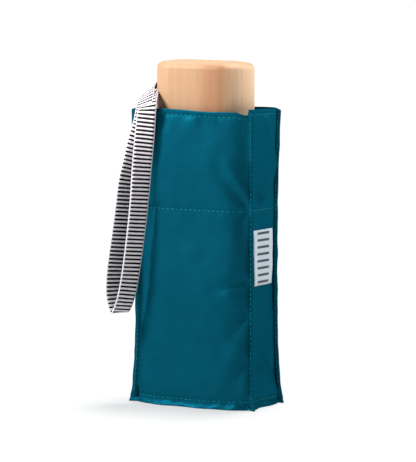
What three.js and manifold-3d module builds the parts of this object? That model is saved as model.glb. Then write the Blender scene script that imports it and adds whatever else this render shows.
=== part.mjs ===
// A five-section pocket umbrella, folded and standing handle up in its sewn fabric sleeve.
// Millimetres, +Z up. The origin is the centre of the sleeve's base, on the surface it stands on.
// The front panel faces -Y, and the sleeve's woven label is on the +X side.
import * as THREE from "three";
import { mergeVertices } from "three/addons/utils/BufferGeometryUtils.js";
import Module from "manifold-3d";

const wasm = await Module();
wasm.setup();

// ---- Driving dimensions ----
const RUNNING_GAP = 0.3; // between pieces that touch or slide

// Shaft: five nested flat tubes, numbered from the canopy end to the handle
const TUBE_COUNT = 5;
const TUBE_HALF_WIDTH = 8; // of the widest tube
const TUBE_HALF_DEPTH = 5.5;
const TUBE_WALL = 0.5;
const TUBE_STEP = TUBE_WALL + RUNNING_GAP; // how much smaller each tube is than the one round it
const TUBE_FOOT = 12.5; // lower end of the widest tube
const TUBE_FOOT_RISE = 1; // each inner tube stands this much higher
const TUBE_TOP = 129; // mouth of the widest tube
const COLLAR_HEIGHT = 1.7;
const COLLAR_LIP = 0.5; // how far a collar stands out past its tube

// Ribs: four flat bars a rib, side by side on short rivets, and a stretcher to the runner
const RIB_COUNT = 6;
const BAR_THICKNESS = 2; // across the rib, along the rivets
const BAR_DEPTH = 3; // towards the shaft
const BAR_GAP = 0.6; // between the bars of a rib
const BAR_PITCH = BAR_THICKNESS + BAR_GAP;
const RIVET_RADIUS = 0.7;
const RIVET_HOLE_RADIUS = 0.95;
const RIVET_PROUD = 0.2;
const SIDE_RIB_REACH = 14.5; // pivots of the two ribs on the X axis
const CORNER_RIB_X = 7; // pivots of the other four
const CORNER_RIB_Y = 10.5;
const CROWN_PIVOT_Z = 16;
const LOWER_KNEE_Z = 22;
const UPPER_KNEE_Z = 131;
const STRETCHER_LENGTH = 52;
const RIB_TIP_LENGTH = 5;
const RIB_TIP_Z = 19.7; // lower end of a folded rib's tip

// Crown, ferrule and runner
const CROWN_RADIUS = 10.6;
const CROWN_FOOT = 9;
const CROWN_TOP = 14;
const EAR_THICKNESS = 1;
const EAR_TOP_MARGIN = 1.8; // above the pivot
const FERRULE_FOOT = 1.1;
const FERRULE_RADIUS = 8.5;
const RUNNER_RADIUS = 9.6;
const RUNNER_FLANGE_RADIUS = 10.7;
const RUNNER_HEIGHT = 14;
const RUNNER_FLANGE_HEIGHT = 3;

// Canopy, folded round the ribs, and its tie
const CANOPY_HALF_WIDTH = 29.5;
const CANOPY_HALF_DEPTH = 15.9;
const CANOPY_CORNER = 13;
const CANOPY_FOOT = 19;
const CANOPY_TOP = 131;
const CANOPY_BORE_HALF_WIDTH = 16.8;
const CANOPY_BORE_HALF_DEPTH = 15.2;
const CANOPY_BORE_CORNER = 4;
const TIE_HEIGHT = 14;
const TIE_THICKNESS = 0.4;
const TIE_GAP = 0.15;
const TIE_FOOT = 98;

// Handle
const HANDLE_HALF_WIDTH = 26;
const HANDLE_HALF_DEPTH = 14;
const HANDLE_FOOT = 139;
const HANDLE_TOP = 174;
const HANDLE_EDGE = 2.5; // rounding of the upper edge
const SOCKET_HALF_WIDTH = 8.5;
const SOCKET_HALF_DEPTH = 6;
const SOCKET_DEPTH = 22;

// Sleeve
const SLEEVE_SIDE_ROOM = 3.5; // from the canopy or the handle, whichever is wider, to the sleeve's outside
const SLEEVE_FRONT_ROOM = 1.6;
const SLEEVE_WIDTH = 2 * (Math.max(CANOPY_HALF_WIDTH, HANDLE_HALF_WIDTH) + SLEEVE_SIDE_ROOM);
const SLEEVE_DEPTH = 2 * (Math.max(CANOPY_HALF_DEPTH, HANDLE_HALF_DEPTH) + SLEEVE_FRONT_ROOM);
const SLEEVE_HEIGHT = 150;
const CLOTH = 0.8; // a panel with its seam allowance
const SEAM_FLANGE = 1.5; // how far the front and back stand out past the gussets
const LABEL_WIDTH = 18;
const LABEL_HEIGHT = 28;
const LABEL_THICKNESS = 0.5;
const LABEL_FOOT = 62; // height of the label's lower edge
const LABEL_SEAM_INSET = 8.5; // from the front panel to the label

// Wrist strap: a flat ribbon, sewn into a loop behind a pin in the handle's -X end
const STRAP_WIDTH = 10;
const STRAP_CORE_RADIUS = 0.9;
const STRAP_STEPS = 60;
const STRAP_PIN_RADIUS = 1.1;
const STRAP_PIN_HALF_LENGTH = 8;
const STRAP_PIN_X = -20;
const STRAP_PIN_Z = 158.5;
const SLOT_HALF_HEIGHT = 2.8;
const SLOT_CLEARANCE = 0.5; // either side of the ribbon

// ---- Materials ----
const material = (color, roughness, metalness = 0) =>
  new THREE.MeshStandardMaterial({ color, roughness, metalness });
const tealCloth = material(0x0a5c73, 0.45);
const canopyCloth = material(0x0b6078, 0.5);
const labelCloth = material(0xc9dae6, 0.8);
const ribbon = material(0xd8d4d6, 0.85);
const beech = material(0xe2b98f, 0.5);
const aluminium = material(0xb9bcc0, 0.35, 1);
const steel = material(0x3a3c40, 0.4, 0.8);
const blackPlastic = material(0x1b1c1e, 0.5);

// ---- Solids ----
// A closed three.js geometry as a manifold-3d solid, and back again.
function solid(geometry) {
  const bare = geometry.clone();
  bare.deleteAttribute("normal");
  bare.deleteAttribute("uv");
  const merged = mergeVertices(bare, 1e-4);
  return new wasm.Manifold(
    new wasm.Mesh({
      numProp: 3,
      vertProperties: merged.attributes.position.array,
      triVerts: new Uint32Array(merged.index.array),
    }),
  );
}

function geometryOf(manifold) {
  const made = manifold.getMesh();
  return new THREE.BufferGeometry()
    .setAttribute("position", new THREE.BufferAttribute(made.vertProperties.slice(), 3))
    .setIndex(new THREE.BufferAttribute(made.triVerts.slice(), 1));
}

const join = (first, ...others) => others.reduce((sum, next) => sum.add(next), first);
const cut = (first, ...others) => others.reduce((rest, next) => rest.subtract(next), first);

// A box from its lowest to its highest corner.
function boxBetween([x0, y0, z0], [x1, y1, z1]) {
  return new THREE.BoxGeometry(x1 - x0, y1 - y0, z1 - z0).translate(
    (x0 + x1) / 2,
    (y0 + y1) / 2,
    (z0 + z1) / 2,
  );
}

// A rod along Y from y0 to y1.
function rodAlongY(radius, x, z, y0, y1, sides = 12) {
  return new THREE.CylinderGeometry(radius, radius, y1 - y0, sides).translate(x, (y0 + y1) / 2, z);
}

// A rectangle with round corners, centred on the origin; a flat tube's section has ends that are half circles.
function roundedOutline(halfWidth, halfDepth, corner, target = new THREE.Shape()) {
  const x = halfWidth - corner;
  const y = halfDepth - corner;
  target.moveTo(x, -halfDepth);
  target.absarc(x, -y, corner, -Math.PI / 2, 0);
  target.absarc(x, y, corner, 0, Math.PI / 2);
  target.absarc(-x, y, corner, Math.PI / 2, Math.PI);
  target.absarc(-x, -y, corner, Math.PI, Math.PI * 1.5);
  return target;
}

// An upright prism of an outline, from height z0 to z1.
function prism(shape, z0, z1, curveSegments = 2) {
  return new THREE.ExtrudeGeometry(shape, {
    depth: z1 - z0,
    bevelEnabled: false,
    curveSegments,
  }).translate(0, 0, z0);
}

// A prism with a hole of the same kind right through it.
function pipe(outer, inner, z0, z1, curveSegments = 2) {
  const shape = roundedOutline(...outer);
  shape.holes.push(roundedOutline(...inner, new THREE.Path()));
  return prism(shape, z0, z1, curveSegments);
}

// ---- The object ----
const umbrella = new THREE.Group();

function add(name, geometry, finish, parent = umbrella) {
  const mesh = new THREE.Mesh(geometry, finish);
  mesh.name = name;
  parent.add(mesh);
  return mesh;
}

// ---- Sleeve: a front, a back, two side gussets and a base, sewn edge to edge ----
const sleeveX = SLEEVE_WIDTH / 2;
const sleeveY = SLEEVE_DEPTH / 2;

function addSleeve() {
  const innerY = sleeveY - CLOTH - RUNNING_GAP;
  const gussetX = sleeveX - SEAM_FLANGE;
  const innerX = gussetX - CLOTH - RUNNING_GAP;
  for (const [name, side] of [["sleeve_front", -1], ["sleeve_back", 1]]) {
    const y = side * (sleeveY - CLOTH / 2);
    add(name, boxBetween(
      [-sleeveX, y - CLOTH / 2, 0],
      [sleeveX, y + CLOTH / 2, SLEEVE_HEIGHT],
    ), tealCloth);
  }
  for (const [name, side] of [["sleeve_left_gusset", -1], ["sleeve_right_gusset", 1]]) {
    const x = side * (gussetX - CLOTH / 2);
    add(name, boxBetween(
      [x - CLOTH / 2, -innerY, 0],
      [x + CLOTH / 2, innerY, SLEEVE_HEIGHT],
    ), tealCloth);
  }
  add("sleeve_base", boxBetween([-innerX, -innerY, 0], [innerX, innerY, CLOTH]), tealCloth);
}

function addLabel() {
  const x = sleeveX - SEAM_FLANGE + RUNNING_GAP;
  const y = -sleeveY + CLOTH + LABEL_SEAM_INSET;
  add("sleeve_label", boxBetween(
    [x, y, LABEL_FOOT],
    [x + LABEL_THICKNESS, y + LABEL_WIDTH, LABEL_FOOT + LABEL_HEIGHT],
  ), labelCloth);
}

// ---- Shaft ----
// Half width, half depth and corner of tube n's outside, grown by a margin. Tube 1 is the widest.
function tubeSection(n, margin = 0) {
  const smaller = (n - 1) * TUBE_STEP - margin;
  return [TUBE_HALF_WIDTH - smaller, TUBE_HALF_DEPTH - smaller, TUBE_HALF_DEPTH - smaller];
}

const mouthRise = COLLAR_HEIGHT + 2 * RUNNING_GAP; // from one tube's mouth to the next
const tubeMouth = (n) => TUBE_TOP + (n - 1) * mouthRise;

function addShaft() {
  for (let n = 1; n <= TUBE_COUNT; n++) {
    const foot = TUBE_FOOT + (n - 1) * TUBE_FOOT_RISE;
    const inHandle = n === TUBE_COUNT;
    const top = inHandle ? HANDLE_FOOT + SOCKET_DEPTH - RUNNING_GAP : tubeMouth(n);
    add(`shaft_tube_${n}`, pipe(tubeSection(n), tubeSection(n, -TUBE_WALL), foot, top), aluminium);
    if (inHandle) continue;
    const seat = tubeMouth(n) + RUNNING_GAP;
    add(`tube_collar_${n}`, pipe(
      tubeSection(n, COLLAR_LIP),
      tubeSection(n + 1, RUNNING_GAP),
      seat,
      seat + COLLAR_HEIGHT,
    ), blackPlastic);
  }
}

// ---- Ribs ----
// Where each rib's crown pivot is, and which way it opens.
const ribPlaces = Array.from({ length: RIB_COUNT }, (_, i) => {
  const angle = (i * 2 * Math.PI) / RIB_COUNT;
  const onSide = i % (RIB_COUNT / 2) === 0;
  const x = Math.sign(Math.cos(angle)) * (onSide ? SIDE_RIB_REACH : CORNER_RIB_X);
  const y = onSide ? 0 : Math.sign(Math.sin(angle)) * CORNER_RIB_Y;
  return { angle, x, y };
});

// Bars of a rib, by their place across it: the stretcher, then the four bars from the crown to the tip.
const layer = { stretcher: -2 * BAR_PITCH, a: -BAR_PITCH, b: 0, c: BAR_PITCH, d: 2 * BAR_PITCH };

// A flat bar with round ends between heights z0 and z1, in the rib's own XZ plane, with rivet holes.
function bar(y, z0, z1, holes) {
  const half = BAR_DEPTH / 2;
  const outline = new THREE.Shape();
  outline.absarc(0, z1, half, 0, Math.PI);
  outline.absarc(0, z0, half, Math.PI, 2 * Math.PI);
  for (const z of holes) {
    outline.holes.push(new THREE.Path().absarc(0, z, RIVET_HOLE_RADIUS, 0, 2 * Math.PI, true));
  }
  return new THREE.ExtrudeGeometry(outline, {
    depth: BAR_THICKNESS,
    bevelEnabled: false,
    curveSegments: 4,
  })
    .rotateX(Math.PI / 2)
    .translate(0, y + BAR_THICKNESS / 2, 0);
}

// The same bar with a rivet from its middle through the next bar.
function riveted(geometry, y, z, direction) {
  const end = y + direction * (BAR_PITCH + BAR_THICKNESS / 2 + RIVET_PROUD);
  const rivet = rodAlongY(RIVET_RADIUS, 0, z, Math.min(y, end), Math.max(y, end), 8);
  return geometryOf(join(solid(geometry), solid(rivet)));
}

function ribParts() {
  const stretcherPivot = CROWN_PIVOT_Z + STRETCHER_LENGTH;
  const runnerPivot = stretcherPivot + STRETCHER_LENGTH;
  const tipTop = RIB_TIP_Z + RIB_TIP_LENGTH;
  const crownBar = riveted(
    bar(layer.a, CROWN_PIVOT_Z, UPPER_KNEE_Z, [CROWN_PIVOT_Z]),
    layer.a,
    UPPER_KNEE_Z,
    1,
  );
  const tipHalf = (BAR_DEPTH + 0.4) / 2;
  const tip = roundedOutline(tipHalf, (BAR_THICKNESS + 0.2) / 2, 0.8);
  return {
    a: riveted(crownBar, layer.a, stretcherPivot, -1),
    b: riveted(bar(layer.b, LOWER_KNEE_Z, UPPER_KNEE_Z, [UPPER_KNEE_Z]), layer.b, LOWER_KNEE_Z, 1),
    c: riveted(bar(layer.c, LOWER_KNEE_Z, UPPER_KNEE_Z, [LOWER_KNEE_Z]), layer.c, UPPER_KNEE_Z, 1),
    d: bar(layer.d, tipTop + BAR_DEPTH / 2 + RUNNING_GAP, UPPER_KNEE_Z, [UPPER_KNEE_Z]),
    stretcher: bar(layer.stretcher, stretcherPivot, runnerPivot, [stretcherPivot]),
    tip: prism(tip, RIB_TIP_Z, tipTop, 3).translate(0, layer.d, 0),
  };
}

function addRibs() {
  const parts = ribParts();
  ribPlaces.forEach(({ angle, x, y }, i) => {
    const rib = new THREE.Group();
    rib.position.set(x, y, 0);
    rib.rotation.z = angle;
    umbrella.add(rib);
    for (const bars of ["a", "b", "c", "d"]) add(`rib_${i + 1}_${bars}`, parts[bars], steel, rib);
    add(`rib_${i + 1}_stretcher`, parts.stretcher, steel, rib);
    add(`rib_${i + 1}_tip`, parts.tip, blackPlastic, rib);
  });
}

// ---- Crown: the hub at the canopy's top, with a pair of ears and a pivot rivet for each rib ----
function crownEars({ angle, x, y }) {
  const inward = -Math.hypot(x, y) + CROWN_RADIUS - 2;
  const pieces = [1, -1].map((side) => {
    const near = layer.a + side * (BAR_THICKNESS / 2 + RUNNING_GAP);
    const far = near + side * EAR_THICKNESS;
    return boxBetween(
      [inward, Math.min(near, far), CROWN_FOOT],
      [BAR_DEPTH / 2, Math.max(near, far), CROWN_PIVOT_Z + EAR_TOP_MARGIN],
    );
  });
  const reach = BAR_THICKNESS / 2 + RUNNING_GAP + EAR_THICKNESS / 2;
  pieces.push(rodAlongY(RIVET_RADIUS, 0, CROWN_PIVOT_Z, layer.a - reach, layer.a + reach, 8));
  pieces.push(boxBetween(
    [inward, layer.a - reach, CROWN_FOOT],
    [BAR_DEPTH / 2, layer.a + reach, CROWN_PIVOT_Z - BAR_DEPTH / 2 - RUNNING_GAP],
  ));
  return pieces.map((piece) => solid(piece.rotateZ(angle).translate(x, y, 0)));
}

function addCrown() {
  const hub = solid(new THREE.CylinderGeometry(CROWN_RADIUS, CROWN_RADIUS, CROWN_TOP - CROWN_FOOT, 24)
    .rotateX(Math.PI / 2)
    .translate(0, 0, (CROWN_TOP + CROWN_FOOT) / 2));
  const seat = solid(prism(
    roundedOutline(...tubeSection(1, RUNNING_GAP)),
    TUBE_FOOT - RUNNING_GAP,
    CROWN_PIVOT_Z + BAR_DEPTH,
  ));
  add("crown", geometryOf(cut(join(hub, ...ribPlaces.flatMap(crownEars)), seat)), blackPlastic);
}

function addFerrule() {
  const top = CROWN_FOOT - RUNNING_GAP;
  const shoulder = FERRULE_FOOT + 3.5;
  const profile = [
    [0, FERRULE_FOOT],
    [FERRULE_RADIUS - 4, FERRULE_FOOT],
    [FERRULE_RADIUS - 1.2, FERRULE_FOOT + 1.2],
    [FERRULE_RADIUS, shoulder],
    [FERRULE_RADIUS, top],
    [0, top],
  ].map(([radius, z]) => new THREE.Vector2(radius, z));
  add("ferrule", new THREE.LatheGeometry(profile, 24).rotateX(Math.PI / 2), blackPlastic);
}

// ---- Runner: slides on the widest tube and pushes the stretchers out ----
function addRunner() {
  const middle = CROWN_PIVOT_Z + 2 * STRETCHER_LENGTH;
  const foot = middle - RUNNER_HEIGHT + 5;
  const disc = (radius, z0, z1) => {
    const geometry = new THREE.CylinderGeometry(radius, radius, z1 - z0, 24);
    return solid(geometry.rotateX(Math.PI / 2).translate(0, 0, (z0 + z1) / 2));
  };
  const grip = disc(RUNNER_RADIUS, foot, foot + RUNNER_HEIGHT);
  const half = RUNNER_FLANGE_HEIGHT / 2;
  const flange = disc(RUNNER_FLANGE_RADIUS, middle - half, middle + half);
  const bore = solid(prism(
    roundedOutline(...tubeSection(1, RUNNING_GAP)),
    foot - 1,
    foot + RUNNER_HEIGHT + 1,
  ));
  add("runner", geometryOf(cut(join(grip, flange), bore)), blackPlastic);
}

// ---- Canopy and tie, as folded ----
function addCanopy() {
  add("canopy", pipe(
    [CANOPY_HALF_WIDTH, CANOPY_HALF_DEPTH, CANOPY_CORNER],
    [CANOPY_BORE_HALF_WIDTH, CANOPY_BORE_HALF_DEPTH, CANOPY_BORE_CORNER],
    CANOPY_FOOT,
    CANOPY_TOP,
    4,
  ), canopyCloth);
  const ring = (margin) => [
    CANOPY_HALF_WIDTH + margin,
    CANOPY_HALF_DEPTH + margin,
    CANOPY_CORNER + margin,
  ];
  add("canopy_tie", pipe(
    ring(TIE_GAP + TIE_THICKNESS),
    ring(TIE_GAP),
    TIE_FOOT,
    TIE_FOOT + TIE_HEIGHT,
    4,
  ), canopyCloth);
}

// ---- Handle ----
function addHandle() {
  const flat = HANDLE_HALF_DEPTH - HANDLE_EDGE;
  const block = new THREE.ExtrudeGeometry(
    roundedOutline(HANDLE_HALF_WIDTH - HANDLE_EDGE, flat, flat),
    {
      depth: HANDLE_TOP - HANDLE_FOOT - 2 * HANDLE_EDGE,
      bevelEnabled: true,
      bevelThickness: HANDLE_EDGE,
      bevelSize: HANDLE_EDGE,
      bevelSegments: 3,
      curveSegments: 6,
    },
  ).translate(0, 0, HANDLE_FOOT + HANDLE_EDGE);
  const socketBore = prism(
    roundedOutline(
      SOCKET_HALF_WIDTH + RUNNING_GAP,
      SOCKET_HALF_DEPTH + RUNNING_GAP,
      SOCKET_HALF_DEPTH + RUNNING_GAP,
    ),
    HANDLE_FOOT - 1,
    HANDLE_FOOT + SOCKET_DEPTH,
    3,
  );
  const slotHalfWidth = STRAP_WIDTH / 2 + SLOT_CLEARANCE;
  const slot = boxBetween(
    [-HANDLE_HALF_WIDTH - 1, -slotHalfWidth, STRAP_PIN_Z - SLOT_HALF_HEIGHT],
    [STRAP_PIN_X + SLOT_HALF_HEIGHT, slotHalfWidth, STRAP_PIN_Z + SLOT_HALF_HEIGHT],
  );
  const pinBore = rodAlongY(
    STRAP_PIN_RADIUS + RUNNING_GAP,
    STRAP_PIN_X,
    STRAP_PIN_Z,
    -STRAP_PIN_HALF_LENGTH - RUNNING_GAP,
    STRAP_PIN_HALF_LENGTH + RUNNING_GAP,
  );
  add("handle", geometryOf(cut(solid(block), solid(socketBore), solid(slot), solid(pinBore))), beech);
  add("handle_socket", pipe(
    [SOCKET_HALF_WIDTH, SOCKET_HALF_DEPTH, SOCKET_HALF_DEPTH],
    tubeSection(TUBE_COUNT, RUNNING_GAP),
    HANDLE_FOOT,
    HANDLE_FOOT + SOCKET_DEPTH - RUNNING_GAP,
    3,
  ), blackPlastic);
  add("strap_pin", rodAlongY(
    STRAP_PIN_RADIUS,
    STRAP_PIN_X,
    STRAP_PIN_Z,
    -STRAP_PIN_HALF_LENGTH,
    STRAP_PIN_HALF_LENGTH,
  ), aluminium);
}

// ---- Wrist strap: a ribbon, shown here as a thin cord along the ribbon's middle ----
// Out of the handle's slot, over the sleeve's mouth, down the far leg, round the bottom and back up the near leg.
const strapRoute = [
  [-22.2, 0, 160],
  [-26, 0, 160],
  [-28.8, -2.4, 159.6],
  [-29, -8, 157.6],
  [-26.8, -13.6, 155.4],
  [-24.8, -19.2, 150.6],
  [-25.2, -20.2, 143],
  [-27.4, -20.8, 135],
  [-30.3, -21, 124],
  [-33.4, -21, 113],
  [-35.6, -20.7, 100],
  [-38.2, -20.6, 84],
  [-40.6, -20.8, 68],
  [-41, -21.2, 55],
  [-37.6, -22.7, 46.6],
  [-33.6, -23.9, 52],
  [-30.6, -23.9, 64],
  [-27.8, -23.8, 82],
  [-25.4, -23.5, 102],
  [-23.8, -23.2, 122],
  [-22.4, -22.6, 138],
  [-21.8, -21.6, 148.6],
  [-23, -17, 153.4],
  [-25.8, -10, 156],
  [-26.9, -3.4, 157.2],
  [-26, -0.2, 157],
  [-22.2, 0, 157],
];

function addStrap() {
  const section = new THREE.Shape().absarc(0, 0, STRAP_CORE_RADIUS, 0, 2 * Math.PI);
  const path = new THREE.CatmullRomCurve3(
    strapRoute.map((point) => new THREE.Vector3(...point)), false, "centripetal");
  add("wrist_strap", new THREE.ExtrudeGeometry(section, {
    extrudePath: path,
    steps: STRAP_STEPS,
    curveSegments: 4,
  }), ribbon);
}

addSleeve();
addLabel();
addShaft();
addRibs();
addCrown();
addFerrule();
addRunner();
addCanopy();
addHandle();
addStrap();

export default umbrella;
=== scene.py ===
# A pocket umbrella with a flat beech handle and a striped wrist strap, standing handle up in its sewn sleeve.
import math

import bmesh
import bpy
from mathutils import Matrix, Vector, noise


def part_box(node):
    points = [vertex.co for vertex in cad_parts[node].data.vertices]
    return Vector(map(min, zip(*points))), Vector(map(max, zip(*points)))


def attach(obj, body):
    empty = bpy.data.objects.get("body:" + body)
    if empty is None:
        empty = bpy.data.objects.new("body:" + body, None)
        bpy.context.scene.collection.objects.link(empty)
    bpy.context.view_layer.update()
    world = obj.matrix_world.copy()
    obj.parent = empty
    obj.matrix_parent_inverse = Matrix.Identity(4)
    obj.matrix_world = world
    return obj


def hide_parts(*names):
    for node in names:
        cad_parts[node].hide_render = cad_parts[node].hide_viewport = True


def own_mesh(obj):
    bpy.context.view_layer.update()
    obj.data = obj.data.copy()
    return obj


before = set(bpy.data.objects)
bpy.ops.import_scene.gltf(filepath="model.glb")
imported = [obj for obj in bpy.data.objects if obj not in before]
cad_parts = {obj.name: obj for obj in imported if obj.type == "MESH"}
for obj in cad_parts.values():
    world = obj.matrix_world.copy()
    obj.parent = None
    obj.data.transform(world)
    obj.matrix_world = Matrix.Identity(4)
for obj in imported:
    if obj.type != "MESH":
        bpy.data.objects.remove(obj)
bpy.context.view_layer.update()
mm = 0.001

# ---- Camera ----
# A long lens a little above the object's middle, turned towards the sleeve's front and its labelled gusset.
camera_turn = math.radians(28.65)
camera_rise = math.radians(6.45)
camera_distance = 1.882
camera_aim = Vector((0, 0, 88 * mm))

towards_camera = Vector((
    math.sin(camera_turn) * math.cos(camera_rise),
    -math.cos(camera_turn) * math.cos(camera_rise),
    math.sin(camera_rise),
))
camera = bpy.data.objects.new("camera", bpy.data.cameras.new("camera"))
bpy.context.collection.objects.link(camera)
camera.data.lens = 290
camera.data.sensor_width = 36
camera.data.shift_x = 0.005
camera.data.shift_y = -0.002
camera.data.clip_end = 60
camera.location = camera_aim + camera_distance * towards_camera
camera.rotation_euler = towards_camera.to_track_quat("Z", "Y").to_euler()
bpy.context.scene.camera = camera


# ---- Wrist strap ----
# A woven grosgrain ribbon, cross-striped in black and white, its two ends sewn together behind a pin in the
# handle. It twists as it leaves the slot, falls over the sleeve's mouth and hangs in a flat loop.
strap_width = 10 * mm
strap_thickness = 0.7 * mm
stripe_pitch = 2.05 * mm
# Points down the ribbon's middle in millimetres, each with the direction across the ribbon there.
strap_route = [
    ((-22.2, 0, 160), (0, -1, 0.1)),
    ((-26, 0, 160), (0, -1, 0.2)),
    ((-28.8, -2.4, 159.6), (0.35, -0.9, 0.25)),
    ((-29, -8, 157.6), (0.75, -0.6, 0.25)),
    ((-26.8, -13.6, 155.4), (0.92, -0.35, 0.15)),
    ((-24.8, -19.2, 150.6), (0.97, -0.15, 0.1)),
    ((-25.2, -20.2, 143), (0.97, 0.05, 0.1)),
    ((-27.4, -20.8, 135), (0.93, 0.25, 0.1)),
    ((-30.3, -21, 124), (0.8, 0.55, 0.1)),
    ((-33.4, -21, 113), (0.7, 0.7, 0.1)),
    ((-35.6, -20.7, 100), (0.6, 0.8, 0)),
    ((-38.2, -20.6, 84), (0.55, 0.83, 0)),
    ((-40.6, -20.8, 68), (0.55, 0.83, 0)),
    ((-41, -21.2, 55), (0.55, 0.83, 0)),
    ((-37.6, -22.7, 46.6), (0.52, 0.85, 0)),
    ((-33.6, -23.9, 52), (0.52, 0.85, 0)),
    ((-30.6, -23.9, 64), (0.54, 0.84, 0)),
    ((-27.8, -23.8, 82), (0.56, 0.83, 0)),
    ((-25.4, -23.5, 102), (0.62, 0.78, 0)),
    ((-23.8, -23.2, 122), (0.78, 0.62, 0)),
    ((-22.4, -22.6, 138), (0.92, 0.38, 0)),
    ((-21.8, -21.6, 148.6), (0.98, 0.1, 0.1)),
    ((-23, -17, 153.4), (0.95, -0.2, 0.25)),
    ((-25.8, -10, 156), (0.8, -0.5, 0.3)),
    ((-26.9, -3.4, 157.2), (0.45, -0.85, 0.25)),
    ((-26, -0.2, 157), (0, -1, 0.1)),
    ((-22.2, 0, 157), (0, -1, 0)),
]


def catmull_rom(values, place):
    """A smooth value between the chosen ones, where place counts them from 0."""
    last = len(values) - 1
    i = min(int(place), last - 1)
    t = place - i
    a, b, c, d = (Vector(values[max(0, min(last, k))]) for k in (i - 1, i, i + 1, i + 2))
    return 0.5 * (2 * b + (c - a) * t + (2 * a - 5 * b + 4 * c - d) * t**2 + (3 * b - a - 3 * c + d) * t**3)


def add_piece(name, bm, body, material, smooth=True):
    """A finished mesh as an object at the origin that moves with a body."""
    mesh = bpy.data.meshes.new(name)
    bm.to_mesh(mesh)
    bm.free()
    mesh.polygons.foreach_set("use_smooth", [smooth] * len(mesh.polygons))
    piece = bpy.data.objects.new(name, mesh)
    bpy.context.collection.objects.link(piece)
    mesh.materials.append(material)
    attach(piece, body)
    return piece


def thicken(piece, thickness, offset=-1):
    """Gives a sheet its thickness, inwards unless told otherwise, and applies it."""
    modifier = piece.modifiers.new("thickness", "SOLIDIFY")
    modifier.thickness = thickness
    modifier.offset = offset
    modifier.use_even_offset = False
    bpy.context.view_layer.update()
    made = bpy.data.meshes.new_from_object(piece.evaluated_get(bpy.context.evaluated_depsgraph_get()))
    made.name = piece.name
    piece.modifiers.clear()
    piece.data = made


def new_material(name, **inputs):
    """A material with a Principled shader whose own sockets are set as named."""
    material = bpy.data.materials.new(name)
    material.use_nodes = True
    shader = material.node_tree.nodes["Principled BSDF"]
    for socket, value in inputs.items():
        shader.inputs[socket.replace("_", " ")].default_value = value
    return material, material.node_tree, shader


def node(tree, kind, links=None, **settings):
    """A shader node with its settings, its sockets linked or filled by name or number."""
    made = tree.nodes.new(kind)
    for name, value in settings.items():
        setattr(made, name, value)
    for socket, source in (links or {}).items():
        if isinstance(source, bpy.types.NodeSocket):
            tree.links.new(source, made.inputs[socket])
        else:
            made.inputs[socket].default_value = source
    return made


def srgb(red, green, blue):
    """A colour given as it looks on a screen, from 0 to 255, as the shader wants it."""
    return [((c / 255 + 0.055) / 1.055) ** 2.4 if c > 10 else c / 255 / 12.92 for c in (red, green, blue)] + [1]


def ramp(tree, factor, stops, interpolation="LINEAR"):
    """A colour ramp through stops of (place, colour)."""
    made = node(tree, "ShaderNodeValToRGB", {0: factor})
    made.color_ramp.interpolation = interpolation
    elements = made.color_ramp.elements
    while len(elements) < len(stops):
        elements.new(0.5)
    for element, (place, color) in zip(elements, stops):
        element.position = place
        element.color = color
    return made.outputs["Color"]


def texture(tree, place, scale, detail):
    """Cloudy noise from 0 to 1, drawn out where its scale is given in three directions."""
    if isinstance(scale, tuple):
        place, scale = node(tree, "ShaderNodeMapping", {0: place, "Scale": scale}).outputs[0], 1.0
    return node(tree, "ShaderNodeTexNoise", {"Vector": place, "Scale": scale, "Detail": detail}).outputs["Fac"]


def reckon(tree, operation, *values):
    """What a Math node makes of its inputs."""
    return node(tree, "ShaderNodeMath", dict(enumerate(values)), operation=operation).outputs[0]


def mix(tree, first, second, factor=1.0, blend="MULTIPLY"):
    """Two colours blended, multiplied unless told otherwise."""
    sockets = {"Factor": factor, 6: first, 7: second}
    return node(tree, "ShaderNodeMix", sockets, data_type="RGBA", blend_type=blend).outputs[2]


def finish_shader(tree, shader, color, height, strength, distance):
    """Gives a shader its base colour and the fine relief of its surface."""
    tree.links.new(color, shader.inputs["Base Color"])
    relief = node(tree, "ShaderNodeBump", {"Height": height, "Strength": strength, "Distance": distance})
    tree.links.new(relief.outputs[0], shader.inputs["Normal"])


ribbon, tree, shader = new_material("grosgrain ribbon", Roughness=0.85, Specular_IOR_Level=0.2)
uv = node(tree, "ShaderNodeUVMap", uv_map="ribbon").outputs["UV"]
split = node(tree, "ShaderNodeSeparateXYZ", {0: uv})
wobble = texture(tree, uv, 3.0, 2.0)
stripe = reckon(tree, "FRACT", reckon(tree, "MULTIPLY_ADD", wobble, 0.12, split.outputs["Y"]))
white, black = srgb(246, 241, 245), srgb(22, 16, 20)
striped = ramp(tree, stripe, [(0.0, white), (0.05, black), (0.5, black), (0.58, white)])
off_middle = reckon(tree, "ABSOLUTE", reckon(tree, "SUBTRACT", split.outputs["X"], 0.5))
selvedge = ramp(tree, off_middle, [(0.455, (0, 0, 0, 1)), (0.475, (1, 1, 1, 1))])
with_edge = mix(tree, striped, srgb(236, 228, 235), factor=selvedge, blend="MIX")
threads = texture(tree, uv, (40, 3, 1), 3.0)
shade = ramp(tree, threads, [(0.3, (0.88, 0.88, 0.89, 1)), (0.7, (1, 1, 1, 1))])
ribs = reckon(tree, "SINE", reckon(tree, "MULTIPLY", split.outputs["Y"], 4 * math.pi))
finish_shader(tree, shader, mix(tree, with_edge, shade), ribs, 0.6, 0.00012)

strap_points = [[c * mm for c in point] for point, _ in strap_route]
strap_across = [direction for _, direction in strap_route]
rows_each = 8
strap_rows = (len(strap_route) - 1) * rows_each
strap_line = [catmull_rom(strap_points, i / rows_each) for i in range(strap_rows + 1)]

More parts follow.
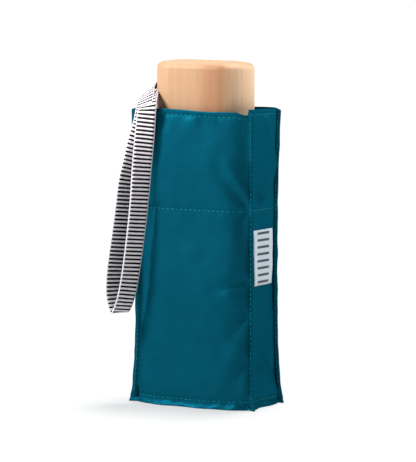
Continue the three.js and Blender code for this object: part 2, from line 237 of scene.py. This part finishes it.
bm = bmesh.new()
bmesh.ops.create_grid(bm, x_segments=6, y_segments=strap_rows, size=0.5)
ribbon_uv = bm.loops.layers.uv.new("ribbon")
walked = [0.0]
for a, b in zip(strap_line, strap_line[1:]):
    walked.append(walked[-1] + (b - a).length)
for face in bm.faces:
    for loop in face.loops:
        row = round((loop.vert.co.y + 0.5) * strap_rows)
        loop[ribbon_uv].uv = (loop.vert.co.x + 0.5, walked[row] / stripe_pitch)
for vert in bm.verts:
    row = round((vert.co.y + 0.5) * strap_rows)
    line = (strap_line[min(row + 1, strap_rows)] - strap_line[max(row - 1, 0)]).normalized()
    side = catmull_rom(strap_across, row / rows_each)
    side = (side - line * side.dot(line)).normalized()
    vert.co = strap_line[row] + side * (vert.co.x * strap_width)
wrist_strap = add_piece("striped_wrist_strap", bm, "handle", ribbon)
thicken(wrist_strap, strap_thickness, offset=0)
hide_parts("wrist_strap")


# ---- Sleeve ----
# One strip of shiny taffeta wrapped round the umbrella, with its four corners stitched into standing seams.
# The mouth is hemmed, a facing inside it is stitched down a third of the way, and the foot has a loose seam
# allowance.
front_low, front_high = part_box("sleeve_front")
sleeve_half_width = front_high[0] / mm
sleeve_half_depth = -front_low[1] / mm
sleeve_height = front_high[2] / mm
foot_seam = 3.6
facing_seam = sleeve_height - 50
hem_seam = sleeve_height - 2.6
seam_lip = 2.9
cloth_thickness = 0.45 * mm


def bell(x, width):
    return math.exp(-((x / width) ** 2))


def soft_noise(x, z, seed, stretch=1.0):
    return noise.noise(Vector((x, z * stretch, seed)))


def corner(z):
    """How far the corner seams stand from the middle at a height: across, to the front and to the back."""
    foot, mouth = bell(z, 22), bell(sleeve_height - z, 26)
    waist = math.sin(math.pi * min(1, max(0, z / sleeve_height)))
    return (
        sleeve_half_width - 1.6 + 0.7 * foot + 0.5 * mouth - 0.5 * waist,
        sleeve_half_depth - 5.8 + 1.4 * foot + 1.6 * mouth - 0.4 * waist,
        sleeve_half_depth - 3.2 + 1.7 * foot + 0.8 * mouth - 0.4 * waist,
    )


# Creases as (panel, from, to, half width, depth), each end as (distance from the panel's middle, height).
# A hollow is below 0. The deepest gather where the facing's stitches catch the corner.
creases = [
    ("front", (31, 102), (17, 121), 2.9, -2.9),
    ("front", (31, 107), (21, 123), 1.9, 1.8),
    ("front", (31, 110), (30, 143), 2.6, -2.0),
    ("front", (29.5, 99), (24, 94), 3.2, -1.1),
    ("front", (28.5, 98), (28, 60), 3.0, -1.7),
    ("front", (30, 65), (15, 61), 2.8, -2.8),
    ("front", (30, 57), (21, 56), 2.2, 1.3),
    ("front", (29.5, 48), (21, 35), 2.8, -2.6),
    ("front", (30, 32), (24, 27), 2.0, 1.5),
    ("front", (29, 24), (23, 8), 3.2, -2.2),
    ("front", (-20.5, 100), (-22.5, 58), 3.2, -1.7),
    ("front", (-30, 12), (-10, 7), 3.0, 0.4),
    ("front", (-12, 137), (-4, 112), 5.0, 0.4),
    ("front", (7, 146), (10, 137), 3.2, -0.7),
    ("front", (-14, 146), (-15, 138), 3.2, -0.5),
    ("right", (-5.5, 104), (-4, 122), 2.4, -1.9),
    ("right", (-1, 105), (12, 121), 1.7, 2.2),
    ("right", (11.5, 122), (2, 144), 1.8, 1.9),
    ("right", (-8, 97), (-9, 80), 2.2, -0.6),
    ("right", (-6, 21), (13.5, 4), 1.8, 2.2),
    ("right", (1, 27), (12, 14), 2.4, -1.6),
    ("right", (-9, 60), (-8, 34), 2.4, -0.6),
    ("left", (9, 103), (11, 128), 2.2, -1.3),
    ("left", (4, 104), (-8, 132), 2.2, 1.0),
    ("left", (0, 16), (-13, 6), 2.2, 0.9),
    ("back", (-28, 101), (-15, 120), 2.6, -1.7),
    ("back", (29, 100), (18, 82), 2.6, -1.3),
    ("back", (10, 70), (-6, 48), 4.0, 0.6),
    ("back", (-28, 30), (-18, 18), 2.8, -1.1),
]


def crease_depth(panel, x, z):
    depth = 0
    for where, (x0, z0), (x1, z1), width, height in creases:
        if where != panel:
            continue
        dx, dz = x1 - x0, z1 - z0
        t = min(1, max(0, ((x - x0) * dx + (z - z0) * dz) / (dx * dx + dz * dz)))
        away = math.hypot(x - x0 - t * dx, z - z0 - t * dz)
        depth += height * bell(away, width * (0.7 + 0.8 * t)) * (1 - 0.6 * t)
    return depth


bundle_clear_width, bundle_clear_depth = 30.6, 17.1


def bundle_reach(x):
    """The least distance from the middle, front or back, that clears the folded canopy and its tie."""
    return bundle_clear_depth * (1 - min(1, abs(x) / bundle_clear_width) ** 3.6) ** 0.28


def seam_pinch(z):
    """How far the stitching pulls the cloth in."""
    return -0.35 * bell(z - facing_seam, 0.9) - 0.3 * bell(z - hem_seam, 0.8) - 0.5 * bell(z - foot_seam, 1.4)


def cloth_point(panel, share, z, proud=0.0):
    """A point of the sleeve: share runs from 0 to 1 across a panel, seen from outside, left to right."""
    across_half, front_half, back_half = corner(z)
    from_middle = 2 * share - 1
    below_mouth = sleeve_height - z
    if panel in ("front", "back"):
        x = across_half * from_middle
        deep_half = front_half if panel == "front" else back_half
        fullness = (sleeve_half_depth + 1.1 - deep_half) * (1 - abs(from_middle) ** 5)
        seed = 3.1 if panel == "front" else 17.7
        ripple = 1.3 * soft_noise(x / 19, z / 26, seed) + 0.4 * soft_noise(x / 7, z / 8, seed + 5)
        gathered = bell(z - facing_seam, 5) + bell(z - hem_seam, 4) + bell(z - 5, 6)
        ripple += 0.5 * soft_noise(x / 2.6, z / 5, seed + 9) * gathered
        quiet = 1 - abs(from_middle) ** 16
        out = deep_half + fullness + ripple * quiet + crease_depth(panel, x, z) * quiet + seam_pinch(z)
        out = max(out, bundle_reach(x))
        out += 0.8 * bell(z, 2.2) + 0.35 * bell(z, 3) * math.sin(x / 3.1)
        lift = 0.35 * math.sin(x / 9 + seed) - 1.7 * bell(x - 30.5, 3) * (panel == "front")
        side = -1 if panel == "front" else 1
        flip = -side
        point = Vector((flip * x, side * (out + proud), z))
    else:
        side = 1 if panel == "right" else -1
        y = from_middle * (front_half + back_half) / 2
        middle = (back_half - front_half) / 2
        seed = 29.3 if panel == "right" else 41.9
        ripple = 0.8 * soft_noise(y / 13, z / 26, seed) + 0.3 * soft_noise(y / 6, z / 7, seed + 5)
        quiet = 1 - abs(from_middle) ** 12
        swell = 1.3 - 0.8 * bell(from_middle + 0.4, 0.4)
        out = across_half + (swell + ripple + crease_depth(panel, y, z)) * quiet + seam_pinch(z)
        out = max(out, sleeve_half_width - 2.2 + 0.25 * (out - sleeve_half_width + 2.2))
        out += 0.8 * bell(z, 2.2) + 0.35 * bell(z, 3) * math.sin(y / 2.7)
        lift = 1.3 * (1 - share) if panel == "right" else -3.4 * math.sin(math.pi * share)
        point = Vector((side * (out + proud), side * y + middle, z))
    point.z += lift * bell(below_mouth, 9)
    if z < foot_seam:
        point.z = max(point.z * (0.7 + 1.1 * noise.noise(Vector((point.x / 7, point.y / 7, 2.2)))), 0.1)
    return point


def lip_point(panel, z, half, length=seam_lip):
    """The standing edge of the seam at the left end of a panel, half a thickness to either side."""
    x = -1 if panel in ("front", "left") else 1
    y = -1 if panel in ("front", "right") else 1
    across_half, front_half, back_half = corner(z)
    deep_half = front_half if y < 0 else back_half
    wave = 0.25 * noise.noise(Vector((z / 5, x * 9.0, y * 4.0)))
    long = length * (1 + 0.12 * noise.noise(Vector((z / 9, y * 7.0, x * 3.0)))) + 1.5 * bell(z, 5)
    lean = 0.42 if y < 0 else 0.05
    point = Vector((x * (across_half + 0.93 * long), y * (deep_half + lean * long + wave), z))
    point.y += half * (1 if panel in ("front", "back") else -1) * y * -0.32
    if z > sleeve_height - 5:
        point.z -= (2.0 if x > 0 > y else 0.8) * (z - sleeve_height + 5) / 5
    if z < foot_seam:
        point.z = max(z * 0.6, 0.1)
    return point


# The cloth's columns go once round the sleeve: each panel and the lip that follows it.
panel_columns = {"front": 54, "right": 26, "back": 54, "left": 26}
columns = []
order = list(panel_columns)
for k, panel in enumerate(order):
    count = panel_columns[panel]
    columns += [(panel, i / count) for i in range(count + 1)]
    following = order[(k + 1) % 4]
    columns += [(following, "lip", 1), (following, "lip", -1)]
columns.append(columns[0])
levels = [0.0, 0.7, 1.4, 2.2, 2.9]
fine_step, coarse_step = 0.45, 1.5
z = foot_seam
while z < sleeve_height - 0.4:
    levels.append(z)
    near_seam = min(abs(z - facing_seam), abs(z - hem_seam), abs(z - foot_seam))
    z += fine_step if near_seam < 1.6 else coarse_step
levels.append(sleeve_height)

bm = bmesh.new()
bmesh.ops.create_grid(bm, x_segments=len(columns) - 1, y_segments=len(levels) - 1, size=0.5)
for vert in bm.verts:
    column = columns[round((vert.co.x + 0.5) * (len(columns) - 1))]
    z = levels[round((vert.co.y + 0.5) * (len(levels) - 1))]
    place = lip_point(column[0], z, column[2]) if "lip" in column else cloth_point(*column, z)
    vert.co = place * mm
bmesh.ops.remove_doubles(bm, verts=bm.verts, dist=1e-6)
bmesh.ops.recalc_face_normals(bm, faces=bm.faces)

teal_glint = (0.03, 0.5, 0.62, 1)
taffeta, tree, shader = new_material(
    "teal taffeta", Roughness=0.42, Metallic=0.35, Specular_IOR_Level=0, Specular_Tint=teal_glint
)
spot = node(tree, "ShaderNodeTexCoord").outputs["Object"]
split = node(tree, "ShaderNodeSeparateXYZ", {0: spot})
round_way = reckon(tree, "ADD", split.outputs["X"], split.outputs["Y"])


def thread_wave(tree, value, pitch):
    """Threads side by side, from -1 to 1."""
    return reckon(tree, "SINE", reckon(tree, "MULTIPLY", value, 2 * math.pi / pitch))


base = ramp(tree, texture(tree, spot, 26.0, 3.0), [(0.3, srgb(6, 79, 99)), (0.7, srgb(7, 85, 106))])
streaks = texture(tree, spot, (60, 60, 1500), 2.0)
thready = ramp(tree, streaks, [(0.3, (0.93, 0.93, 0.93, 1)), (0.7, (1.05, 1.05, 1.05, 1))])
warp, weft = thread_wave(tree, round_way, 0.36 * mm), thread_wave(tree, split.outputs["Z"], 0.42 * mm)
finish_shader(tree, shader, mix(tree, base, thready), reckon(tree, "ADD", weft, warp), 0.35, 0.00003)

sleeve_cloth = add_piece("sleeve_cloth", bm, "sleeve", taffeta)
thicken(sleeve_cloth, cloth_thickness)
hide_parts("sleeve_front", "sleeve_back", "sleeve_left_gusset", "sleeve_right_gusset")


def crumple(piece):
    """Gives a piece a mesh of its own, and leaves its shape as it is."""
    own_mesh(piece)


crumple(sleeve_cloth)

bm = bmesh.new()
bmesh.ops.create_grid(bm, x_segments=40, y_segments=22, size=0.5)
across_half, front_half, back_half = corner(foot_seam)
for vert in bm.verts:
    x = 2 * across_half * vert.co.x
    y = (front_half + back_half) * vert.co.y + (back_half - front_half) / 2
    to_edge = max(abs(2 * vert.co.x), abs(2 * vert.co.y))
    sag = 0.4 + 1.8 * to_edge**6 + 0.25 * noise.noise(Vector((x / 9, y / 9, 8.0)))
    vert.co = Vector((x * 0.995, y * 0.995, sag)) * mm
base_cloth = add_piece("sleeve_base_cloth", bm, "sleeve", taffeta)
thicken(base_cloth, cloth_thickness, offset=0)
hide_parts("sleeve_base")
crumple(base_cloth)

# ---- Sleeve stitching ----
# Lockstitch in a slightly brighter teal thread: round the hem, the facing and the foot, and up the corner lips.
stitch_pitch = 2.5
stitch_radius = 0.2
stitch_ends = (0.12, 0.88)
bm = bmesh.new()


def add_stitch(start, end):
    """One stitch between two points in millimetres: a slim bead that dips at its ends."""
    way = end - start
    turn = way.to_track_quat("X", "Z").to_matrix().to_4x4()
    size = Matrix.Diagonal((way.length / 2 * mm, stitch_radius * mm, stitch_radius * mm, 1))
    place = Matrix.Translation((start + end) / 2 * mm)
    bmesh.ops.create_uvsphere(bm, u_segments=6, v_segments=4, radius=1, matrix=place @ turn @ size)


for panel in order:
    half = corner(80)[0 if panel in ("front", "back") else 2]
    count = int(2 * half / stitch_pitch)
    for height in (hem_seam, facing_seam, foot_seam + 0.3):
        for i in range(count):
            ends = [(i + part) / count for part in stitch_ends]
            add_stitch(*(cloth_point(panel, share, height, proud=0.1) for share in ends))
    for i in range(int((sleeve_height - 8) / stitch_pitch)):
        heights = [5 + stitch_pitch * (i + part) for part in stitch_ends]
        for side in (1, -1):
            ends = [lip_point(panel, z, side * 1.3, length=seam_lip * 0.55) for z in heights]
            add_stitch(*ends)
thread, tree, shader = new_material("teal thread", Roughness=0.5, Specular_Tint=(0.01, 0.6, 0.7, 1))
spot = node(tree, "ShaderNodeTexCoord").outputs["Object"]
twist = texture(tree, spot, 1800.0, 1.0)
color = ramp(tree, twist, [(0.35, srgb(8, 112, 124)), (0.65, srgb(20, 140, 146))])
tree.links.new(color, shader.inputs["Base Color"])
sleeve_stitches = add_piece("sleeve_stitching", bm, "sleeve", thread)
crumple(sleeve_stitches)

# ---- Sleeve label ----
# A woven satin label, folded under at its edges and stitched flat on the gusset, with a row of plain bars.
label_low, label_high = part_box("sleeve_label")
label_y = (label_low[1] + label_high[1]) / 2 / mm
label_z = (label_low[2] + label_high[2]) / 2 / mm
label_width = (label_high[1] - label_low[1]) / mm
label_height = (label_high[2] - label_low[2]) / mm
bar_pitch = 3.5 * mm
bar_half_length = 5.2 * mm
bm = bmesh.new()
bmesh.ops.create_grid(bm, x_segments=12, y_segments=20, size=0.5)
for vert in bm.verts:
    y = label_y + vert.co.x * label_width - 0.6 * vert.co.y
    z = label_z + vert.co.y * label_height
    across_half, front_half, back_half = corner(z)
    share = (y + front_half) / (front_half + back_half)
    edge = max(abs(2 * vert.co.x), abs(2 * vert.co.y)) ** 8
    place = cloth_point("right", share, z, proud=0.55 - 0.2 * edge)
    vert.co = place * mm
label_cloth, tree, shader = new_material("woven label", Roughness=0.6, Sheen_Weight=0.2)
spot = node(tree, "ShaderNodeTexCoord").outputs["Object"]
split = node(tree, "ShaderNodeSeparateXYZ", {0: spot})
steps = reckon(tree, "SUBTRACT", split.outputs["Z"], label_low[2])
steps = reckon(tree, "FRACT", reckon(tree, "MULTIPLY", steps, 1 / bar_pitch))
plain, marked = (0, 0, 0, 1), (1, 1, 1, 1)
bar = ramp(tree, steps, [(0.3, plain), (0.34, marked), (0.66, marked), (0.7, plain)])
inside = reckon(tree, "ABSOLUTE", reckon(tree, "SUBTRACT", split.outputs["Y"], label_y * mm))
inside = reckon(tree, "LESS_THAN", inside, bar_half_length)
mark = reckon(tree, "MULTIPLY", bar, inside)
color = mix(tree, srgb(190, 204, 214), srgb(40, 50, 58), factor=mark, blend="MIX")
finish_shader(tree, shader, color, thread_wave(tree, split.outputs["Z"], 0.35 * mm), 0.3, 0.00003)
label = add_piece("woven_label", bm, "sleeve", label_cloth)
thicken(label, 0.4 * mm, offset=0)
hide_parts("sleeve_label")
crumple(label)

# ---- Handle ----
# Milled and sanded from one block of beech, with flat faces, half-round ends and a gently domed top, then
# lacquered. The strap's slot is milled into one end, and the shaft's plastic socket is pressed in from below.
handle_low, handle_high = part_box("handle")
handle_half_width = handle_high[0] / mm
handle_half_depth = handle_high[1] / mm
handle_foot = handle_low[2] / mm
handle_top = handle_high[2] / mm
pin_low, pin_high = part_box("strap_pin")
_, socket_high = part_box("handle_socket")


def oval_block(radius, straight, profile, segments=96):
    """A block with half-round ends: profile lists (how far its side is drawn in, height), from bottom to top."""
    block = bmesh.new()
    rows = len(profile) - 1
    bmesh.ops.create_grid(block, x_segments=segments, y_segments=rows, size=0.5)
    for vert in block.verts:
        inset, z = profile[round((vert.co.y + 0.5) * rows)]
        turn = 2 * math.pi * (round((vert.co.x + 0.5) * segments) % segments + 0.5) / segments
        x, y = (radius - inset) * math.cos(turn), (radius - inset) * math.sin(turn)
        vert.co = (x + math.copysign(straight, x), y, z)
    bmesh.ops.remove_doubles(block, verts=block.verts, dist=1e-7)
    bmesh.ops.holes_fill(block, edges=block.edges, sides=0)
    bmesh.ops.recalc_face_normals(block, faces=block.faces)
    return block


def cut_away(piece, cutter):
    """Removes a closed bmesh from a piece."""
    tool_mesh = bpy.data.meshes.new("cutter")
    cutter.to_mesh(tool_mesh)
    cutter.free()
    tool = bpy.data.objects.new("cutter", tool_mesh)
    bpy.context.collection.objects.link(tool)
    modifier = piece.modifiers.new("cut", "BOOLEAN")
    modifier.operation = "DIFFERENCE"
    modifier.solver = "EXACT"
    modifier.object = tool
    bpy.context.view_layer.update()
    made = bpy.data.meshes.new_from_object(piece.evaluated_get(bpy.context.evaluated_depsgraph_get()))
    made.name = piece.name
    piece.modifiers.clear()
    piece.data = made
    bpy.data.objects.remove(tool)
    bpy.data.meshes.remove(tool_mesh)


edge_radius = 3.0
profile = [(0.9, handle_foot), (0.3, handle_foot + 0.35), (0, handle_foot + 1)]
profile += [(0, handle_foot + 4 * i) for i in range(1, 8)]
for degrees in range(0, 80, 11):
    turn = math.radians(degrees)
    profile.append((
        edge_radius * (1 - math.cos(turn)),
        handle_top - edge_radius - 0.9 + edge_radius * math.sin(turn),
    ))
profile += [(5, handle_top - 0.55), (8, handle_top - 0.2), (11, handle_top - 0.04), (13.2, handle_top)]
straight = handle_half_width - handle_half_depth
bm = oval_block(handle_half_depth * mm, straight * mm, [(inset * mm, z * mm) for inset, z in profile])

beech, tree, shader = new_material(
    "lacquered beech", Roughness=0.5, Specular_IOR_Level=0.35, Specular_Tint=(1, 0.85, 0.7, 1)
)
spot = node(tree, "ShaderNodeTexCoord").outputs["Object"]
split = node(tree, "ShaderNodeSeparateXYZ", {0: spot})
drift = texture(tree, spot, (70, 70, 9), 2.0)
bent = reckon(tree, "MULTIPLY_ADD", drift, 10 * mm, split.outputs["X"])
# Across the handle the ramp paints the beech's darker band of rings right of the middle, and a paler right end that
# is painted light, standing in for the light on the rounded end as it turns.
grain_and_light_place = node(tree, "ShaderNodeMapRange", {"Value": bent, 1: -21 * mm, 2: 31 * mm}).outputs[0]
rings_and_lit_end = ramp(tree, grain_and_light_place, [
    (0.0, srgb(184, 147, 116)),
    (0.3, srgb(193, 153, 119)),
    (0.52, srgb(192, 151, 117)),
    (0.68, srgb(174, 127, 94)),
    (0.78, srgb(177, 131, 97)),
    (0.88, srgb(216, 178, 142)),
    (1.0, srgb(228, 194, 160)),
])
grain = texture(tree, spot, (900, 900, 22), 4.0)
grain_shade = ramp(tree, grain, [(0.25, (0.93, 0.91, 0.89, 1)), (0.7, (1.03, 1.03, 1.03, 1))])
flecks = texture(tree, spot, (2600, 2600, 260), 1.0)
fleck_shade = ramp(tree, flecks, [(0.3, (0.93, 0.91, 0.88, 1)), (0.4, (1, 1, 1, 1))])
# The top face and its rounded edge are painted paler, a painted highlight for the light that falls on the upward
# face.
painted_top_highlight = node(tree, "ShaderNodeMapRange", {
    "Value": split.outputs["Z"],
    1: (handle_top - 2.2) * mm,
    2: (handle_top - 0.3) * mm,
}).outputs[0]
color = mix(tree, mix(tree, rings_and_lit_end, grain_shade), fleck_shade)
color = mix(tree, color, srgb(200, 168, 136), factor=painted_top_highlight, blend="MIX")
finish_shader(tree, shader, color, flecks, 0.25, 0.00005)

beech_handle = add_piece("beech_handle", bm, "handle", beech)
slot_half_height = 3.4
slot_half_width = strap_width / mm / 2 + 1.3
slot_z = (pin_low[2] + pin_high[2]) / 2 / mm
slot_end = pin_high[0] / mm + 1.7
overshoot = 2
socket_room = 0.3 * mm
cutter = oval_block(
    socket_high[1] + socket_room,
    socket_high[0] - socket_high[1],
    [(0, (handle_foot - overshoot) * mm), (0, socket_high[2] + socket_room)],
    segments=32,
)
size = Vector((handle_half_width + overshoot + slot_end, 2 * slot_half_width, 2 * slot_half_height)) * mm
middle = Vector(((slot_end - handle_half_width - overshoot) / 2, 0, slot_z)) * mm
bmesh.ops.create_cube(cutter, size=1, matrix=Matrix.Translation(middle) @ Matrix.Diagonal((*size, 1)))
cut_away(beech_handle, cutter)
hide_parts("handle")


# ---- Shaft, collars, socket and strap pin ----
# Five flat-sided tubes drawn from aluminium and anodised, each with a moulded collar at its mouth. The pin is
# bright steel wire, and the handle's socket is moulded in the collars' plastic.
def finish_nodes(material, names):
    for name in names:
        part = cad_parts[name]
        for material_slot in part.material_slots:
            material_slot.material = material
        if not part.material_slots:
            part.data.materials.append(material)


anodised, tree, shader = new_material("anodised aluminium", Metallic=1.0, Roughness=0.34)
spot = node(tree, "ShaderNodeTexCoord").outputs["Object"]
drawn = texture(tree, spot, (2200, 2200, 30), 3.0)
color = ramp(tree, drawn, [(0.3, srgb(188, 191, 196)), (0.7, srgb(214, 216, 220))])
finish_shader(tree, shader, color, drawn, 0.15, 0.00003)
tubes = [f"shaft_tube_{n}" for n in range(1, 6)]
finish_nodes(anodised, tubes)

moulded, tree, shader = new_material("moulded black plastic", Roughness=0.5)
spot = node(tree, "ShaderNodeTexCoord").outputs["Object"]
pebble = texture(tree, spot, 2500.0, 2.0)
color = ramp(tree, pebble, [(0.3, srgb(24, 25, 27)), (0.7, srgb(33, 34, 36))])
finish_shader(tree, shader, color, pebble, 0.3, 0.00004)
tips = [f"rib_{n}_tip" for n in range(1, 7)]
collars = [f"tube_collar_{n}" for n in range(1, 5)]
finish_nodes(moulded, collars + tips + ["handle_socket", "crown", "ferrule", "runner"])

bright, tree, shader = new_material("bright steel wire", Metallic=1.0, Roughness=0.22)
spot = node(tree, "ShaderNodeTexCoord").outputs["Object"]
scuffs = texture(tree, spot, 900.0, 4.0)
color = ramp(tree, scuffs, [(0.3, srgb(168, 169, 172)), (0.7, srgb(205, 206, 208))])
tree.links.new(color, shader.inputs["Base Color"])
finish_nodes(bright, ["strap_pin"])

# ---- Ribs and stretchers ----
# Strips rolled from thin steel and dipped in black enamel, worn a little towards grey, on short steel rivets.
enamel, tree, shader = new_material("black enamel on steel", Metallic=0.4, Roughness=0.38)
spot = node(tree, "ShaderNodeTexCoord").outputs["Object"]
wear = texture(tree, spot, 420.0, 5.0)
color = ramp(tree, wear, [(0.35, srgb(38, 39, 42)), (0.62, srgb(58, 60, 64)), (0.75, srgb(92, 94, 98))])
finish_shader(tree, shader, color, wear, 0.2, 0.00004)
bars = [f"rib_{n}_{bar}" for n in range(1, 7) for bar in ("a", "b", "c", "d", "stretcher")]
finish_nodes(enamel, bars)

# ---- Canopy and tie ----
# The canopy's six gores, folded flat round the ribs and wrapped over one another in soft pleats, with a sewn band
# of the same cloth that closes round them.
canopy_low, canopy_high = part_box("canopy")
tie_low, tie_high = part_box("canopy_tie")
bundle_half_width = canopy_high[0] / mm
bundle_half_depth = canopy_high[1] / mm
bundle_foot, bundle_top = canopy_low[2] / mm, canopy_high[2] / mm
bore_half_width, bore_half_depth = 16.8, 15.2


def squared_round(half_width, half_depth, turn, power):
    """A point of an outline between an ellipse and a rectangle."""
    c, s = math.cos(turn), math.sin(turn)
    return Vector((
        half_width * math.copysign(abs(c) ** (2 / power), c),
        half_depth * math.copysign(abs(s) ** (2 / power), s),
    ))


def bundle_point(turn, z, share):
    """A point of the folded canopy: share runs from 0 on its outside to 1 on the bore round the ribs."""
    outer = squared_round(bundle_half_width, bundle_half_depth, turn, 3.6)
    inner = squared_round(bore_half_width, bore_half_depth, turn, 6)
    wall = (outer - inner).length
    wrap = turn + 0.5 * (z - bundle_foot) / (bundle_top - bundle_foot)
    pleat = abs(math.sin(6 * wrap)) ** 0.7 + 0.4 * abs(math.sin(13 * wrap + 1))
    drawn_in = min(1.7, 0.5 * wall) * (1 - pleat / 1.4) + 0.2 * noise.noise(Vector((6 * wrap, z / 14, 5.0)))
    waist = min(2.0, 0.3 * wall) * (bell(z - (tie_low[2] + tie_high[2]) / 2 / mm, 16) + bell(bundle_top - z, 8))
    reach = max(0, min(1, share + (1 - share) * (max(0, drawn_in) + 0.6 * waist) / max(wall, 0.7)))
    flat = outer.lerp(inner, reach)
    return Vector((flat.x, flat.y, z))


bundle_columns, bundle_levels = 288, 36
bundle_height = bundle_top - bundle_foot
bundle_rows = [(0, bundle_foot + bundle_height * i / bundle_levels) for i in range(bundle_levels + 1)]
bundle_rows += [(share, bundle_top) for share in (0.5, 1)] + [(share, bundle_foot) for share in (1, 0.5, 0)]
bm = bmesh.new()
bmesh.ops.create_grid(bm, x_segments=bundle_columns, y_segments=len(bundle_rows) - 1, size=0.5)
for vert in bm.verts:
    share, z = bundle_rows[round((vert.co.y + 0.5) * (len(bundle_rows) - 1))]
    column = round((vert.co.x + 0.5) * bundle_columns) % bundle_columns
    turn = 2 * math.pi * (column + 0.5) / bundle_columns
    vert.co = bundle_point(turn, z, share) * mm
bmesh.ops.remove_doubles(bm, verts=bm.verts, dist=1e-7)
bmesh.ops.recalc_face_normals(bm, faces=bm.faces)

canopy_cloth, tree, shader = new_material(
    "canopy polyester", Roughness=0.5, Metallic=0.25, Specular_IOR_Level=0, Specular_Tint=teal_glint
)
spot = node(tree, "ShaderNodeTexCoord").outputs["Object"]
split = node(tree, "ShaderNodeSeparateXYZ", {0: spot})
color = ramp(tree, texture(tree, spot, 60.0, 4.0), [(0.3, srgb(6, 76, 95)), (0.7, srgb(7, 86, 107))])
warp, weft = (thread_wave(tree, split.outputs[axis], 0.4 * mm) for axis in ("X", "Z"))
finish_shader(tree, shader, color, reckon(tree, "ADD", weft, warp), 0.3, 0.00003)
folded_canopy = add_piece("folded_canopy", bm, "canopy_end", canopy_cloth)
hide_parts("canopy")

tie_columns, tie_levels = 144, 8
tie_rows = [tie_low[2] / mm + (tie_high[2] - tie_low[2]) / mm * i / tie_levels for i in range(tie_levels + 1)]
bm = bmesh.new()
bmesh.ops.create_grid(bm, x_segments=tie_columns, y_segments=tie_levels, size=0.5)
for vert in bm.verts:
    z = tie_rows[round((vert.co.y + 0.5) * tie_levels)]
    turn = 2 * math.pi * (round((vert.co.x + 0.5) * tie_columns) % tie_columns) / tie_columns
    flat = squared_round(bundle_half_width + 0.2, bundle_half_depth + 0.2, turn, 3.4)
    vert.co = Vector((flat.x, flat.y, z + 0.3 * math.sin(2 * turn))) * mm
bmesh.ops.remove_doubles(bm, verts=bm.verts, dist=1e-7)
bmesh.ops.recalc_face_normals(bm, faces=bm.faces)
tie_band = add_piece("tie_band", bm, "canopy_end", canopy_cloth)
thicken(tie_band, 0.3 * mm, offset=1)
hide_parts("canopy_tie")
for piece in (folded_canopy, tie_band):
    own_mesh(piece)

# ---- Floor and light ----
# A white studio floor that glows a little under a dim white surround. Its light comes from high behind, so its soft
# shadow falls forward. The lamps at the front left and behind the right light the umbrella alone.
bm = bmesh.new()
bmesh.ops.create_grid(bm, x_segments=1, y_segments=1, size=30)
floor_mesh = bpy.data.meshes.new("floor")
bm.to_mesh(floor_mesh)
bm.free()
floor = bpy.data.objects.new("floor", floor_mesh)
bpy.context.collection.objects.link(floor)
paper, tree, shader = new_material("white paper", Roughness=0.9, Specular_IOR_Level=0, Emission_Strength=1.02)
shader.inputs["Base Color"].default_value = (0.6, 0.6, 0.6, 1)
shader.inputs["Emission Color"].default_value = (1, 1, 1, 1)
floor_mesh.materials.append(paper)
unlit = bpy.data.collections.new("unlit_by_lamps")
unlit.objects.link(floor)
unlit.collection_objects[0].light_linking.link_state = "EXCLUDE"


def add_lamp(name, place, aim, size, energy):
    lamp = bpy.data.objects.new(name, bpy.data.lights.new(name, "AREA"))
    bpy.context.collection.objects.link(lamp)
    lamp.data.shape = "DISK"
    lamp.data.size = size
    lamp.data.energy = energy
    lamp.location = place
    lamp.rotation_euler = (Vector(place) - Vector(aim)).to_track_quat("Z", "Y").to_euler()
    lamp.light_linking.receiver_collection = unlit


add_lamp("key", place=(-0.29, -0.29, 0.42), aim=(0, 0, 0.12), size=0.18, energy=6.0)
add_lamp("rim", place=(0.2, 0.1, 0.3), aim=(0.02, 0, 0.16), size=0.12, energy=0.85)
overhead = bpy.data.objects.new("overhead", bpy.data.lights.new("overhead", "SUN"))
bpy.context.collection.objects.link(overhead)
overhead.data.energy = 2.4
overhead.data.angle = math.radians(18)
overhead.rotation_euler = Vector((0.03, 0.2, 0.98)).to_track_quat("Z", "Y").to_euler()

world = bpy.data.worlds.new("studio")
bpy.context.scene.world = world
world.use_nodes = True
world.node_tree.nodes["Background"].inputs["Color"].default_value = (1, 1, 1, 1)
world.node_tree.nodes["Background"].inputs["Strength"].default_value = 0.35
bpy.context.scene.view_settings.view_transform = "Standard"
bpy.context.scene.view_settings.exposure = -0.69
